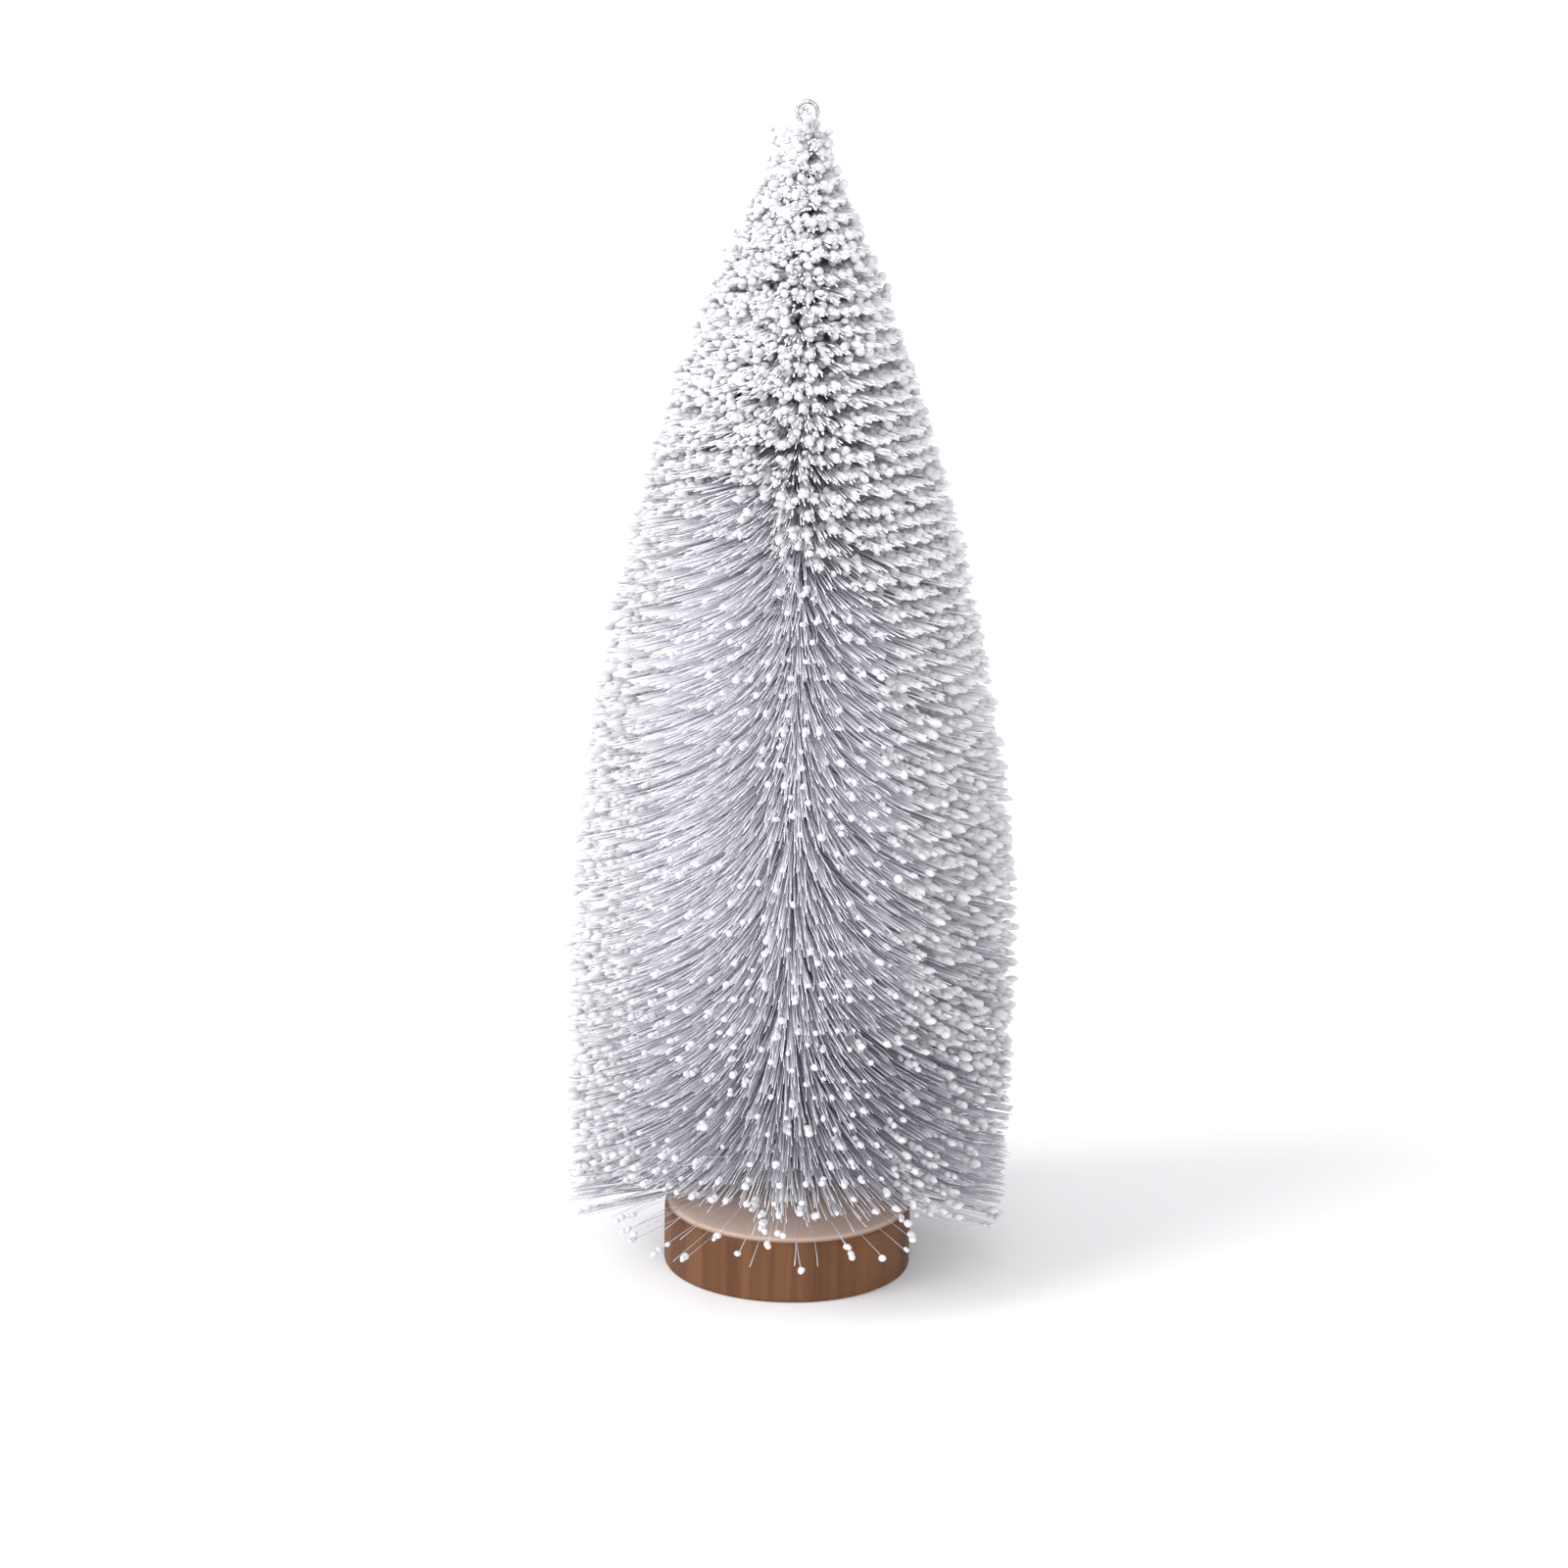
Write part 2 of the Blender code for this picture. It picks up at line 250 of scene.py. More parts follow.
def sawn_wood():
    """Light brown wood with growth rings that run through the disc from top to bottom."""
    wood = Recipe("sawn_wood")
    where = wood.node("ShaderNodeTexCoord").outputs["Object"]
    pith = wood.node("ShaderNodeMapping", Vector=where, Location=middle_from_pith, Scale=(1.0, 1.0, 0.12))
    bend = wood.node("ShaderNodeTexNoise", Vector=pith.outputs[0], Scale=55.0, Detail=3.0, Roughness=0.5)
    shove = wood.node("ShaderNodeVectorMath", {"operation": "MULTIPLY_ADD"})
    wood.feed(shove, "0", bend.outputs["Color"])
    wood.feed(shove, "1", (0.006, 0.006, 0.0))
    wood.feed(shove, "2", pith.outputs[0])
    flat = wood.node("ShaderNodeVectorMath", {"operation": "MULTIPLY"})
    wood.feed(flat, "0", shove.outputs[0])
    wood.feed(flat, "1", (1.0, 1.0, 0.0))
    distance = wood.node("ShaderNodeVectorMath", {"operation": "LENGTH"})
    wood.feed(distance, "0", flat.outputs[0])
    year = wood.maths("FRACT", wood.maths("MULTIPLY", distance.outputs["Value"], growth_rings_per_metre))
    early_wood = ((0.0, (0.150, 0.066, 0.028)), (0.55, (0.140, 0.061, 0.026)))
    late_wood = ((0.88, (0.116, 0.048, 0.020)), (1.0, (0.145, 0.064, 0.027)))
    rings = wood.ramp(year, *early_wood, *late_wood)
    upright = wood.node("ShaderNodeMapping", Vector=where, Scale=(1.0, 1.0, 0.03))
    fibres = wood.node("ShaderNodeTexNoise", Vector=upright.outputs[0], Scale=1500.0, Detail=4.0)
    wood.feed(fibres, "Roughness", 0.65)
    streaks = wood.node("ShaderNodeTexNoise", Vector=upright.outputs[0], Scale=110.0, Detail=2.0)
    fibre_tone = wood.ramp(fibres.outputs["Fac"], (0.30, (0.88, 0.87, 0.86)), (0.62, (1.05, 1.05, 1.05)))
    streak_tone = wood.ramp(streaks.outputs["Fac"], (0.36, (0.72, 0.67, 0.63)), (0.60, (1.10, 1.09, 1.08)))
    colour = wood.blend(1.0, rings, fibre_tone, "MULTIPLY")
    colour = wood.blend(1.0, colour, streak_tone, "MULTIPLY")
    height = wood.node("ShaderNodeSeparateXYZ", Vector=where).outputs["Z"]
    # The flat top blends towards the pale colour: partly the sawn face's own tone, partly painted light
    # against the shade under the brush.
    top_painted_light_mask = wood.node("ShaderNodeMapRange", Value=height)
    wood.feed(top_painted_light_mask, "From Min", foot_height - top_edge * 0.4)
    wood.feed(top_painted_light_mask, "From Max", foot_height - top_edge * 0.1)
    colour = wood.blend(top_painted_light_mask.outputs[0], colour, wood.blend(0.88, colour, sawn_face_and_painted_light_colour))
    rough = wood.maths("ADD", wood.maths("MULTIPLY", fibres.outputs["Fac"], 0.25), 0.45)
    bump = wood.node("ShaderNodeBump", Strength=0.25, Distance=0.0002, Height=fibres.outputs["Fac"])
    return wood.finish(Base_Color=colour, Roughness=rough, Specular_IOR_Level=0.25, Normal=bump.outputs[0])


turned_foot = revolve("turned_foot", foot_outline(), 144, hand_sanded)
put("turned_foot", turned_foot, sawn_wood(), "wood", "wood_foot")


# The stem is one galvanised wire, folded in half and twisted. Its two legs leave a narrow
# gap that grips the bristles, and the fold stays open as a small eye at the tip of the tree.
stem_low, stem_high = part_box("twisted_wire_stem")
turn_count = sum(name.startswith("bristle_turn_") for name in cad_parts)
turn_box = [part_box(f"bristle_turn_{number:02d}") for number in range(1, turn_count + 1)]
twist_pitch = (turn_box[-1][1].z - turn_box[0][1].z) / (turn_count - 1)
root_low = np.array([high.z - twist_pitch for low, high in turn_box])
root_high = np.array([high.z for low, high in turn_box])
wire_radius = 0.0006
wire_sides = 10
leg_offset = (stem_high.y - stem_low.y) / 2 - wire_radius
eye_height = 0.0062
eye_bottom = stem_high.z - eye_height
eye_radius = (stem_high.x - stem_low.x) / 2 - wire_radius
neck_lean = math.radians(50)
ease_length = 0.0040


def twist_angle(height):
    """Angle of the first leg at a height. The twist eases out just below the eye."""
    rate = math.tau / twist_pitch
    even = rate * (height - eye_bottom + ease_length / 2)
    eased = -rate * (eye_bottom - height) ** 2 / (2 * ease_length)
    return np.where(height < eye_bottom - ease_length, even, eased)


def wire_path():
    """Centre line of the wire: up one leg, round the eye and down the other leg."""
    heights = np.linspace(stem_low.z, eye_bottom, 640, endpoint=False)
    angle = twist_angle(heights)
    up = np.stack([leg_offset * np.cos(angle), leg_offset * np.sin(angle), heights], 1)
    centre = stem_high.z - wire_radius - eye_radius
    swing = np.linspace(-neck_lean, math.pi + neck_lean, 48)
    ring = np.stack([eye_radius * np.cos(swing), 0 * swing, centre + eye_radius * np.sin(swing)], 1)
    start = np.array([leg_offset, 0, eye_bottom])
    end = ring[0]
    rise = end[2] - start[2]
    leave = np.array([0, 0, rise])
    arrive = np.array([math.sin(neck_lean), 0, math.cos(neck_lean)]) * rise
    t = np.linspace(0, 1, 6, endpoint=False)[:, None]
    neck = (1 + 2 * t) * (1 - t) ** 2 * start + t * (1 - t) ** 2 * leave
    neck = neck + t * t * (3 - 2 * t) * end + t * t * (t - 1) * arrive
    other_neck = neck[::-1] * np.array([-1, 1, 1])
    down = up[::-1] * np.array([-1, -1, 1])
    return np.concatenate([up, neck, ring, other_neck, down])


def tubes(paths, radii, sides):
    """Closed tubes along paths (tube, ring, xyz), as points and four-sided faces."""
    count, rings = paths.shape[:2]
    along = np.gradient(paths, axis=1)
    along /= np.linalg.norm(along, axis=2, keepdims=True)
    helper = np.where(np.abs(along[..., 2:]) > 0.95, [1.0, 0, 0], [0, 0, 1.0])
    across = np.cross(along, helper)
    across /= np.linalg.norm(across, axis=2, keepdims=True)
    above = np.cross(across, along)
    turn = np.arange(sides) * math.tau / sides
    rim = across[:, :, None] * np.cos(turn)[:, None] + above[:, :, None] * np.sin(turn)[:, None]
    points = paths[:, :, None] + rim * radii[:, :, None, None]
    ring, side = np.meshgrid(np.arange(rings - 1), np.arange(sides), indexing="ij")
    after = (side + 1) % sides
    near = ring * sides
    far = (ring + 1) * sides
    wall = np.stack([near + side, near + after, far + after, far + side], -1)
    return points.reshape(-1, 3), wall.reshape(-1, 4)


def galvanised():
    """Zinc-coated steel: dull grey with a faint spangle and darker scuffs from the twisting."""
    zinc = Recipe("galvanised_wire")
    where = zinc.node("ShaderNodeTexCoord").outputs["Object"]
    spangle = zinc.node("ShaderNodeTexVoronoi", Vector=where, Scale=1400.0)
    scuff = zinc.node("ShaderNodeTexNoise", Vector=where, Scale=700.0, Detail=4.0)
    tone = zinc.ramp(scuff.outputs["Fac"], (0.35, (0.36, 0.37, 0.38)), (0.6, (0.66, 0.67, 0.69)))
    colour = zinc.blend(0.18, tone, spangle.outputs["Color"], "SOFT_LIGHT")
    rough = zinc.maths("ADD", zinc.maths("MULTIPLY", scuff.outputs["Fac"], 0.35), 0.22)
    bump = zinc.node("ShaderNodeBump", Strength=0.2, Distance=0.00005, Height=scuff.outputs["Fac"])
    return zinc.finish(Base_Color=colour, Roughness=rough, Metallic=0.9, Normal=bump.outputs[0])


path = wire_path()
wire_points, wire_faces = tubes(path[None], np.full((1, len(path)), wire_radius), wire_sides)
cut_ends = [tuple(range(wire_sides - 1, -1, -1))]
cut_ends += [tuple(range(len(wire_points) - wire_sides, len(wire_points)))]
folded_wire = bpy.data.meshes.new("folded_wire")
folded_wire.from_pydata(wire_points.tolist(), [], wire_faces.tolist() + cut_ends)
folded_wire.shade_smooth()
put("folded_wire", folded_wire, galvanised(), "galvanised_wire", "twisted_wire_stem")


# Hot-melt glue holds the stem in its hole. It wells up round the wire and sets as a
# cloudy bead on the foot.
bead_bottom = foot_height + 0.0002
bead_radius = (glue_high.x - glue_low.x) / 2
bore_radius = leg_offset + wire_radius + fit_gap
bead_steps = 10


def lumpy(point):
    """The bead sets uneven, with its edge drawn in further on some sides."""
    angle = math.atan2(point.y, point.x)
    if point.z < foot_height:
        return point
    run = 1 + 0.07 * math.sin(2 * angle + 0.5) + 0.05 * math.sin(5 * angle) - 0.10
    sag = 1 + 0.12 * math.sin(3 * angle + 1.0) - 0.12
    return Vector((point.x * run, point.y * run, bead_bottom + (point.z - bead_bottom) * sag))


def cloudy_glue():
    """Milky hot-melt glue with small trapped bubbles."""
    glue = Recipe("cloudy_glue")
    where = glue.node("ShaderNodeTexCoord").outputs["Object"]
    cloud = glue.node("ShaderNodeTexNoise", Vector=where, Scale=420.0, Detail=3.0)
    bubbles = glue.node("ShaderNodeTexVoronoi", Vector=where, Scale=1800.0)
    tone = glue.ramp(cloud.outputs["Fac"], (0.35, (0.66, 0.63, 0.54)), (0.65, (0.84, 0.82, 0.75)))
    fleck = glue.ramp(bubbles.outputs["Distance"], (0.10, (1.12, 1.12, 1.12)), (0.2, (1, 1, 1)))
    colour = glue.blend(1.0, tone, fleck, "MULTIPLY")
    rough = glue.maths("ADD", glue.maths("MULTIPLY", cloud.outputs["Fac"], 0.2), 0.2)
    bump = glue.node("ShaderNodeBump", Strength=0.3, Distance=0.0001, Height=cloud.outputs["Fac"])
    return glue.finish(Base_Color=colour, Roughness=rough, Normal=bump.outputs[0])


bead_outline = [(bore_radius, glue_low.z), (hole_radius - fit_gap, glue_low.z)]
bead_outline += [(hole_radius - fit_gap, bead_bottom), (bead_radius, bead_bottom)]
for step in range(1, bead_steps + 1):
    lift = math.pi / 2 * step / bead_steps
    reach = bore_radius + (bead_radius - bore_radius) * math.cos(lift)
    bead_outline.append((reach, bead_bottom + (glue_high.z - foot_height) * math.sin(lift)))
glue_bead = revolve("glue_bead", bead_outline, 72, lumpy)
put("glue_bead", glue_bead, cloudy_glue(), "hot_melt_glue", "glue_sleeve")


# The bristles are straight white plastic filaments laid side by side across the stem between
# the two legs of the wire. The twist fans them into a two-start spiral. They droop a little
# more towards the bottom, and the flock's glue draws their tips together in small tufts.
crossings_per_turn = 520
filament_radius = 0.000080
filament_sides = 4
along_filament = np.array([0.0, 0.28, 0.56, 0.78, 0.90, 0.965, 1.0])
coat_along_filament = np.array([0, 0, 0.15, 0.5, 0.9, 1.0, 0.45])
steepest_drop = 0.0065
row_scatter = 0.0015
stray_share = 0.006
bare_above_foot = 0.021
dust_and_shade_levels = 16
luck = np.random.default_rng(20)
turn_reach = np.array([(high.x - low.x) / 2 for low, high in turn_box])
turn_drop = root_low - np.array([low.z for low, high in turn_box])


def sideways_of(tips):
    """Where tips point, seen from the front: -1 is straight left and 1 is straight right."""
    return tips[..., 0] / np.hypot(tips[..., 0], tips[..., 1])


def snow_cap(tips):
    """How thickly flock fell from above: 1 at the top. It reaches lower on the right."""
    sideways = sideways_of(tips)
    rightwards = np.clip(sideways, 0.0, 1.0)
    lowest = 0.185 - 0.070 * rightwards + 0.010 * np.clip(-sideways, 0.0, 1.0)
    return np.clip((tips[..., 2] - lowest) / (0.050 + 0.030 * rightwards), 0.0, 1.0)


def snow_banks(tips):
    """How thickly it blew on from the sides: a narrow bank on the left, a wide one on the right."""
    sideways = sideways_of(tips)
    bank = np.clip((3.8 - 1.2 * sideways) * (np.abs(sideways) - 0.53 + 0.23 * sideways), 0.0, 1.0)
    sheltered = 1.0 - 0.6 * np.clip(sideways, 0.0, 1.0) * np.interp(tips[..., 2], (0.05, 0.10), (1.0, 0.0))
    return bank * sheltered * np.interp(tips[..., 2], (0.015, 0.040), (0.15, 1.0))


broad_drifts = [(turns, luck.uniform(0, math.tau), luck.uniform(70, 150)) for turns in (2, 3, 4, 5, 7)]
fine_drifts = [(turns, luck.uniform(0, math.tau), luck.uniform(450, 900)) for turns in (2, 4, 7, 11)]
front_drift_heights = (0.033, 0.074)
front_drift_depth = 0.006


def patchiness(tips):
    """From 0 to 1: the flock took in drifts, with barer stretches between them."""
    around = np.arctan2(tips[..., 1], tips[..., 0])
    total = 0.0
    for turns, start, rate in broad_drifts + fine_drifts:
        total = total + np.sin(turns * around + start + rate * tips[..., 2])
    drift = 0.5 + 0.5 * np.tanh(0.75 * total)
    ahead = np.clip(-np.sin(around), 0.0, 1.0) ** 6
    for height in front_drift_heights:
        drift = drift + 1.2 * ahead * np.exp(-((tips[..., 2] - height) / front_drift_depth) ** 2)
    return np.clip(drift, 0.0, 1.0)


def half_turn(low, high, share, across):
    """One side of a turn: each filament's path, its tuft's number, the strays and headings."""
    count = crossings_per_turn
    roots = low + (high - low) * share
    reach = np.interp(roots, root_low, turn_reach)
    reach = reach - np.interp(roots, (0.260, 0.285), (0.0, 0.0008))
    drop = np.minimum(np.interp(roots, root_low, turn_drop), steepest_drop)
    heading = twist_angle(roots) + across + luck.normal(0, math.radians(2.5), count)
    fuller = np.interp(roots, (0.14, 0.19, 0.27, 0.295), (0.0, 0.0016, 0.0016, 0.0008))
    leftwards = np.clip(-np.cos(heading), 0, 1)

    tuft_width = np.interp(low, (0.15, 0.20), (0.0050, 0.0034))
    tuft_count = max(8, round(math.tau * reach.mean() / tuft_width))
    tuft = np.clip(share * tuft_count + luck.normal(0, 0.3, count), 0, tuft_count - 1).astype(int)
    tuft_root = low + (high - low) * (np.arange(tuft_count) + 0.5) / tuft_count
    tuft_heading = twist_angle(tuft_root) + across + luck.normal(0, math.radians(1.4), tuft_count)
    looseness = np.interp(low, (0.15, 0.22), (0.00030, 0.00130))
    tuft_rise = luck.normal(0, looseness * (0.68 - 0.32 * np.cos(tuft_heading)))
    tuft_length = luck.normal(1.020, 0.010, tuft_count)

    gather = np.maximum(np.cos(heading) ** 4, np.cos(heading))
    pull = luck.uniform(0.15, 0.50, count) + 0.45 * gather
    rise = luck.normal(0, row_scatter, count) * (1 - pull) * (1 - 0.5 * gather) + tuft_rise[tuft]
    swing = (tuft_heading[tuft] - heading) * pull
    length = tuft_length[tuft] + luck.normal(0, 0.007, count)
    level = (tuft_root[tuft] - roots) * pull
    stray = luck.uniform(0, 1, count) < stray_share
    length = np.where(stray, length + luck.uniform(0.01, 0.04, count), length)
    rise = np.where(stray, rise + luck.normal(0, 0.003, count), rise)

    s = along_filament[None] * length[:, None]
    angle = heading[:, None] + swing[:, None] * s ** 1.8
    out = (reach + fuller * leftwards)[:, None] * s
    height = roots[:, None] + level[:, None] * s ** 2
    height += rise[:, None] * s ** 1.5 - drop[:, None] * s ** 1.2
    paths = np.stack([out * np.cos(angle), out * np.sin(angle), height], -1)
    return paths, tuft, stray, heading, roots


def lay_filaments(number):
    """Paths of one turn's filaments, two halves each, and the middle line of every tuft."""
    count = crossings_per_turn
    share = (np.arange(count) + luck.uniform(0, 1, count)) / count
    laid = []
    middles = []
    for across in (math.pi / 2, math.pi / 2 + math.pi):
        paths, tuft, stray, heading, roots = half_turn(root_low[number], root_high[number], share, across)
        by_foot = roots < foot_height + bare_above_foot
        sparse = np.clip((-np.sin(heading) - 0.10) / 0.35, 0, 1) * by_foot
        missing = luck.uniform(0, 1, count) < 0.92 * sparse
        laid.append(paths[~missing])
        for own in range(tuft.max() + 1):
            members = paths[(tuft == own) & (sparse == 0) & ~stray]
            if len(members) > 1:
                middles.append(members.mean(0))
        middles.extend(paths[(sparse > 0) & ~missing])
    return np.concatenate(laid), middles


def dust_and_painted_shade(tips):
    """How much flock dust each filament caught, most high up. Less towards the bottom is partly real dust
    and partly painted shade, and the cut low down on the right is painted shade.
    """
    # Less dust towards the bottom: partly real, partly painted shade that darkens the lower turns.
    dust = np.interp(tips[:, 2], (0.02, 0.05, 0.10, 0.14), (0.0, 0.38, 0.85, 0.97))
    rightwards = np.clip(tips[:, 0] / turn_reach.max(), 0, 1)
    # Painted shade: filaments low down on the right are given less dust, so they are darker.
    painted_shade_right = 0.55 * rightwards * np.interp(tips[:, 2], (0.06, 0.16), (1, 0.05))
    drift = 0.30 * (patchiness(tips) - 0.5)
    return np.clip(dust - painted_shade_right + drift + luck.normal(0, 0.05, len(tips)), 0, 0.999)


def filament_mesh(name, paths):
    """One turn's filaments as closed tubes that thicken where flock coats their tips."""
    count = len(paths)
    rings = len(along_filament)
    sides = filament_sides
    stock = filament_radius * luck.uniform(0.8, 1.2, count)
    tips = paths[:, -1]
    coat = luck.uniform(0.00001, 0.00005, count) + luck.uniform(0.0, 0.00030, count) * snow_cap(tips)
    radii = stock[:, None] + coat[:, None] * coat_along_filament
    points, wall = tubes(paths, radii, sides)
    end = (rings - 1) * sides
    caps = np.array([[3, 2, 1, 0], [end, end + 1, end + 2, end + 3]])
    block = np.concatenate([wall, caps])
    faces = (block[None] + (np.arange(count) * rings * sides)[:, None, None]).reshape(-1, 4)
    mesh = bpy.data.meshes.new(name)
    mesh.from_pydata(points, [], faces)
    side = np.tile(np.arange(sides), rings - 1)
    near = np.repeat(along_filament[:-1], sides)
    far = np.repeat(along_filament[1:], sides)
    wall_u = np.stack([side, side + 1, side + 1, side], -1) / sides
    wall_v = np.stack([near, near, far, far], -1)
    cap_u = np.array([[0.3, 0.7, 0.7, 0.3]] * 2)
    cap_v = np.array([[0.0, 0.0, 0.01, 0.01], [0.99, 0.99, 1.0, 1.0]])
    column = np.floor(dust_and_painted_shade(tips) * dust_and_shade_levels)
    u = (column[:, None, None] + 0.06 + 0.88 * np.concatenate([wall_u, cap_u])[None]) / dust_and_shade_levels
    v = np.broadcast_to(0.005 + 0.99 * np.concatenate([wall_v, cap_v])[None], u.shape)
    layer = mesh.uv_layers.new(name="OFBake")
    layer.uv.foreach_set("vector", np.stack([u, v], -1).astype(np.float32).ravel())
    mesh.shade_smooth()
    return mesh


def white_filament():
    """Cool white plastic. Across its map, each column is a filament that caught more flock dust and less
    painted shade; the bare plastic is painted dark, darkest at the root, as painted shade inside the brush.
    """
    fibre = Recipe("white_filament")
    place = fibre.node("ShaderNodeUVMap", {"uv_map": "OFBake"}).outputs[0]
    parts = fibre.node("ShaderNodeSeparateXYZ", Vector=place)
    column = fibre.maths("FLOOR", fibre.maths("MULTIPLY", parts.outputs["X"], float(dust_and_shade_levels)))
    dust_and_painted_shade_level = fibre.maths("DIVIDE", column, dust_and_shade_levels - 1.0)
    grain = fibre.node("ShaderNodeMapping", Vector=place, Scale=(60.0, 260.0, 1.0))
    dust = fibre.node("ShaderNodeTexNoise", {"noise_dimensions": "2D"}, Vector=grain.outputs[0], Detail=2.0)
    fibre.feed(dust, "Scale", 1.0)
    # The bare plastic colours are painted shade: far darker than white plastic, and darkest at the root,
    # deep inside the brush.
    bare_painted_shade = ((0.0, (0.18, 0.175, 0.21)), (0.5, (0.25, 0.24, 0.29)), (0.82, (0.34, 0.33, 0.39)))
    dusted = ((0.0, (0.90, 0.875, 0.985)), (0.5, (0.92, 0.90, 0.995)), (0.82, (0.92, 0.905, 0.99)))
    bare_plastic_painted_shade = fibre.ramp(parts.outputs["Y"], *bare_painted_shade, (0.93, (0.44, 0.43, 0.48)))
    dusted_plastic = fibre.ramp(parts.outputs["Y"], *dusted, (0.93, (0.94, 0.94, 0.97)))
    colour = fibre.blend(dust_and_painted_shade_level, bare_plastic_painted_shade, dusted_plastic)
    flecks = fibre.maths("GREATER_THAN", dust.outputs["Fac"], 0.62)
    outer_flecks = fibre.maths("MULTIPLY", flecks, parts.outputs["Y"])
    colour = fibre.blend(outer_flecks, colour, (0.93, 0.93, 0.95, 1.0))
    rough = fibre.maths("ADD", fibre.maths("MULTIPLY", parts.outputs["Y"], 0.40), 0.45)
    fibre.finish(Subsurface_Weight=0.6, Subsurface_Radius=(1.0, 1.0, 1.0), Subsurface_Scale=0.0004)
    return fibre.finish(Base_Color=colour, Roughness=rough)


# Snow flock is short white fibre blown onto wet glue. It gathers as soft, uneven clumps on
# the tips of the tufts, thick and run together near the top and sparse lower down.
lump_kinds = 12
lobes_per_lump = 7


def lump_shapes(count):
    """A few unit lumps: balls swollen by smaller lobes."""
    work = bmesh.new()
    bmesh.ops.create_icosphere(work, subdivisions=2, radius=1.0)
    sphere = np.array([vertex.co[:] for vertex in work.verts])
    faces = np.array([[vertex.index for vertex in face.verts] for face in work.faces])
    work.free()
    shapes = []
    for _ in range(count):
        lobes = luck.normal(0, 1, (lobes_per_lump, 3))
        lobes /= np.linalg.norm(lobes, axis=1, keepdims=True)
        heights = luck.uniform(0.12, 0.36, lobes_per_lump)
        swell = 0.68 + (heights * np.exp((sphere @ lobes.T - 1) / 0.30)).sum(1)
        shapes.append(sphere * swell[:, None])
    return sphere, np.array(shapes), faces


sphere, lumps, lump_faces = lump_shapes(lump_kinds)


def snow_mesh(name, centres, sizes, headings):
    """Lumps of flock at the given centres, each with its own shape, turn and stretch."""
    count = len(centres)
    body = lumps[luck.integers(0, len(lumps), count)]
    spin = luck.uniform(0, math.tau, (count, 1))
    turned = body.copy()
    turned[..., 1] = body[..., 1] * np.cos(spin) - body[..., 2] * np.sin(spin)
    turned[..., 2] = body[..., 1] * np.sin(spin) + body[..., 2] * np.cos(spin)
    turned *= sizes[:, None, :]
    out = headings / np.linalg.norm(headings, axis=1, keepdims=True)
    side = np.cross(np.broadcast_to([0, 0, 1.0], out.shape), out)
    side /= np.linalg.norm(side, axis=1, keepdims=True)
    top = np.cross(out, side)
    points = turned[..., :1] * out[:, None] + turned[..., 1:2] * side[:, None]
    points = points + turned[..., 2:] * top[:, None]
    points += centres[:, None]
    faces = (lump_faces[None] + (np.arange(count) * len(sphere))[:, None, None]).reshape(-1, 3)
    mesh = bpy.data.meshes.new(name)
    mesh.from_pydata(points.reshape(-1, 3), [], faces)
    lean = np.stack([sphere[:, 0] + 0.37 * sphere[:, 1], sphere[:, 2] + 0.23 * sphere[:, 1]], 1) / 1.09
    uv = (0.5 + 0.47 * lean)[lump_faces]
    all_uv = np.broadcast_to(uv[None], (count, *uv.shape))
    layer = mesh.uv_layers.new(name="OFBake")
    layer.uv.foreach_set("vector", all_uv.astype(np.float32).ravel())
    mesh.shade_smooth()
    return mesh


def snow_flock():
    """Matt white fibre with a rough nap, painted a touch darker and bluer in broad noise patches as painted
    shade.
    """
    snow = Recipe("snow_flock")
    place = snow.node("ShaderNodeUVMap", {"uv_map": "OFBake"}).outputs[0]
    flat_noise = {"noise_dimensions": "2D"}
    nap = snow.node("ShaderNodeTexNoise", flat_noise, Vector=place, Scale=26.0, Detail=4.0, Roughness=0.7)
    # Broad noise patches a touch darker and bluer: painted shade standing in for hollows.
    painted_shade_patches = snow.node("ShaderNodeTexNoise", flat_noise, Vector=place, Scale=5.0, Detail=1.0)
    fine = snow.ramp(nap.outputs["Fac"], (0.30, (0.65, 0.65, 0.675)), (0.62, (0.735, 0.735, 0.75)))
    broad_painted_shade = snow.ramp(painted_shade_patches.outputs["Fac"], (0.30, (0.95, 0.955, 0.97)), (0.60, (1.0, 1.0, 1.0)))
    colour = snow.blend(1.0, fine, broad_painted_shade, "MULTIPLY")
    bump = snow.node("ShaderNodeBump", Strength=0.5, Distance=0.0002, Height=nap.outputs["Fac"])
    return snow.finish(Base_Color=colour, Roughness=0.95, Specular_IOR_Level=0.2, Normal=bump.outputs[0])


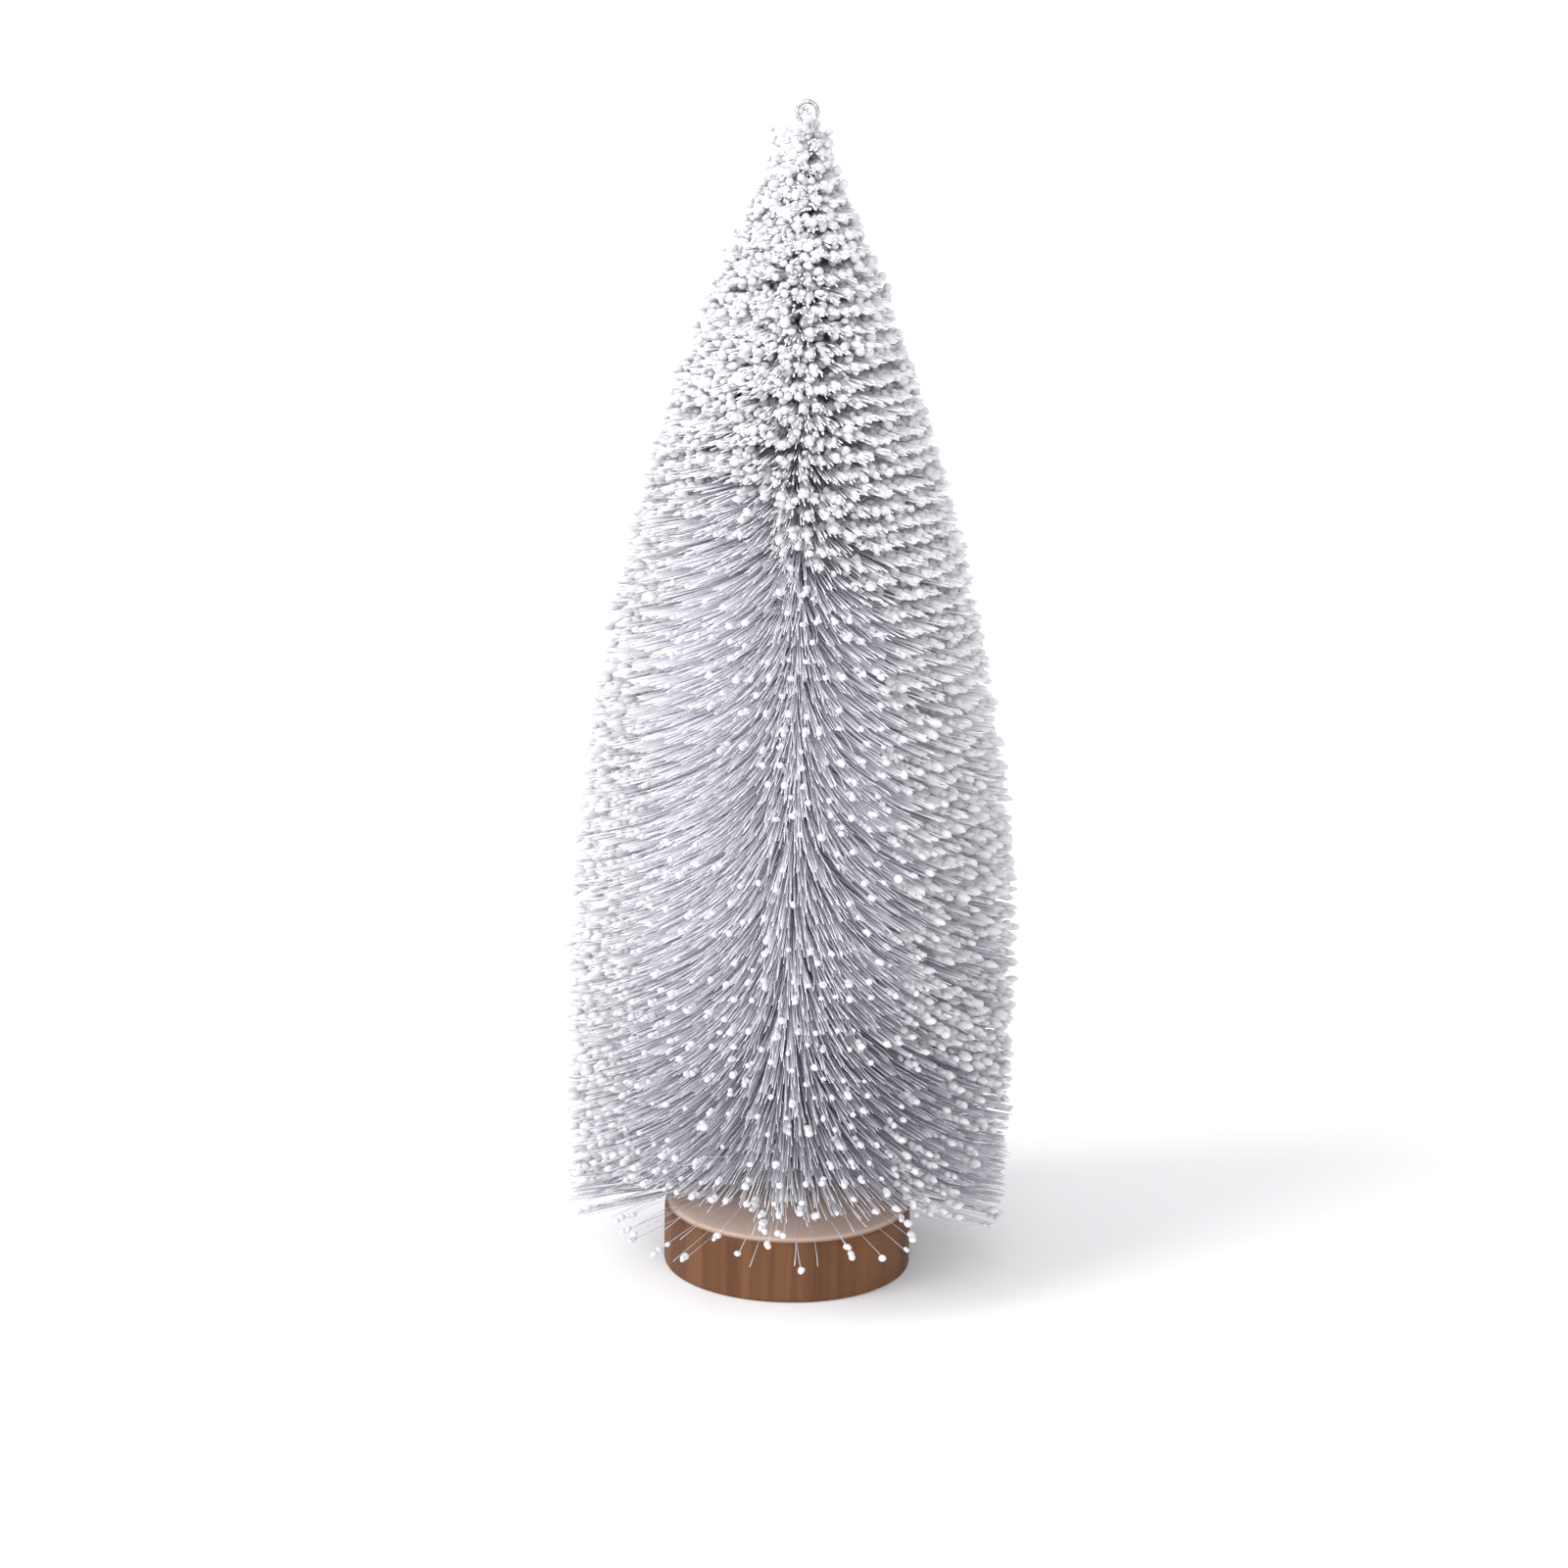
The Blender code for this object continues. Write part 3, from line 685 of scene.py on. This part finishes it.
def snow_on_tuft(line):
    """Flock on one tuft's middle line: centres, sizes and headings of its lumps."""
    centres = []
    sizes = []
    headings = []
    tip = line[-1]
    way = tip - line[2]
    span = np.linalg.norm(way)
    cap = float(snow_cap(tip))
    bank = float(snow_banks(tip)) * (1 - cap)
    drift = float(patchiness(tip))
    leftwards = -tip[0] / math.hypot(tip[0], tip[1])
    wool = float(np.clip(0.25 + leftwards, 0, 1)) * cap
    high_left = float(np.clip(1.5 * leftwards, 0, 1) * np.interp(tip[2], (0.08, 0.12), (0, 1)))
    swept = high_left * (1 - cap) * (1 - bank)
    skirt = float(np.clip(2 * abs(leftwards) - 0.8, 0, 1) * np.interp(tip[2], (0.020, 0.045), (1, 0)))
    caught = 0.14 + 0.80 * drift + 0.40 * cap + 0.40 * wool + 0.25 * bank
    if luck.uniform() > caught - 0.35 * swept - 0.50 * skirt:
        return centres, sizes, headings

    lump_count = 1 + int(luck.poisson(0.1 + 0.9 * drift + 4.5 * bank + 6.0 * cap + 14.0 * wool))
    back = 0.0006 + 0.0008 * cap - 0.0012 * wool
    for _ in range(lump_count):
        if back > span * 1.6:
            break
        size = luck.uniform(0.00060, 0.00096) * (1 + luck.uniform(-0.2, 0.6) * bank + 0.25 * cap)
        scatter = luck.normal(0, 0.00022 + 0.00010 * cap + 0.00135 * wool, 3)
        scatter -= 0.9 * wool * (scatter @ way) * way / span ** 2
        centres.append(tip - way / span * back + scatter + [0, 0, 0.0002])
        long = luck.uniform(1.1, 1.6) + luck.uniform(0.2, 1.2) * bank
        stretch = (long, luck.uniform(0.85, 1.2), luck.uniform(0.8, 1.1))
        sizes.append([size * share for share in stretch])
        headings.append(way + luck.normal(0, 0.06 + 0.20 * cap, 3) * span)
        back += luck.uniform(0.0009, 0.0020) * (1 - 0.6 * wool) + luck.uniform(0.0, 0.0030) * bank

    for _ in range(luck.poisson(4.0 * wool + 3.0 * cap)):
        lodged = tip - way * luck.uniform(0.15, 0.85)
        centres.append(lodged + luck.normal(0, (0.0006, 0.0006, 0.0014)))
        sizes.append(luck.uniform(0.0008, 0.0014) * luck.uniform(0.8, 1.2, 3))
        headings.append(way + luck.normal(0, 0.5, 3) * span)
    return centres, sizes, headings


def snow_on_turn(name, middles):
    """All the flock on one turn's tufts, as one mesh."""
    centres = []
    sizes = []
    headings = []
    for line in middles:
        own_centres, own_sizes, own_headings = snow_on_tuft(line)
        centres += own_centres
        sizes += own_sizes
        headings += own_headings
    return snow_mesh(name, np.array(centres), np.array(sizes), np.array(headings))


flock = snow_flock()
filament_plastic = white_filament()
for number in range(turn_count):
    label = f"{number + 1:02d}"
    paths, middles = lay_filaments(number)
    filaments = filament_mesh("filaments_turn_" + label, paths)
    put("filaments_turn_" + label, filaments, filament_plastic, "bristle", "bristle_turn_" + label)
    snow = snow_on_turn("snow_turn_" + label, middles)
    put("snow_turn_" + label, snow, flock, "snow_flock")


# A clump of flock is caught in the eye, and more of it clings to the left of the ring, where
# it was blown on with the rest.
clump_lumps = 26
ring_lumps = 12
clump_low, clump_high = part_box("flock_in_eye")
clump_centre = np.array([0.0, 0.0, (clump_low.z + clump_high.z) / 2])
clump_reach = (clump_high.x - clump_low.x) / 2
angles = luck.uniform(0, math.tau, clump_lumps)
spread = np.sqrt(luck.uniform(0, 0.6, clump_lumps)) * clump_reach
depth = luck.normal(0, 0.00030, clump_lumps)
in_eye = np.stack([spread * np.cos(angles) - 0.0003, depth, spread * np.sin(angles)], 1)
around = np.radians(np.linspace(95, 250, ring_lumps)) + luck.normal(0, 0.08, ring_lumps)
forward = luck.normal(-0.0004, 0.0002, ring_lumps)
on_ring = np.stack([eye_radius * np.cos(around), forward, eye_radius * np.sin(around)], 1)
eye_lumps = np.concatenate([clump_centre + in_eye, clump_centre + on_ring])
eye_sizes = luck.uniform(0.00028, 0.00055, (len(eye_lumps), 3))
eye_headings = luck.normal(0, 1, (len(eye_lumps), 3))
eye_clump = snow_mesh("flock_caught_in_eye", eye_lumps, eye_sizes, eye_headings)
put("flock_caught_in_eye", eye_clump, flock, "snow_flock", "flock_in_eye")
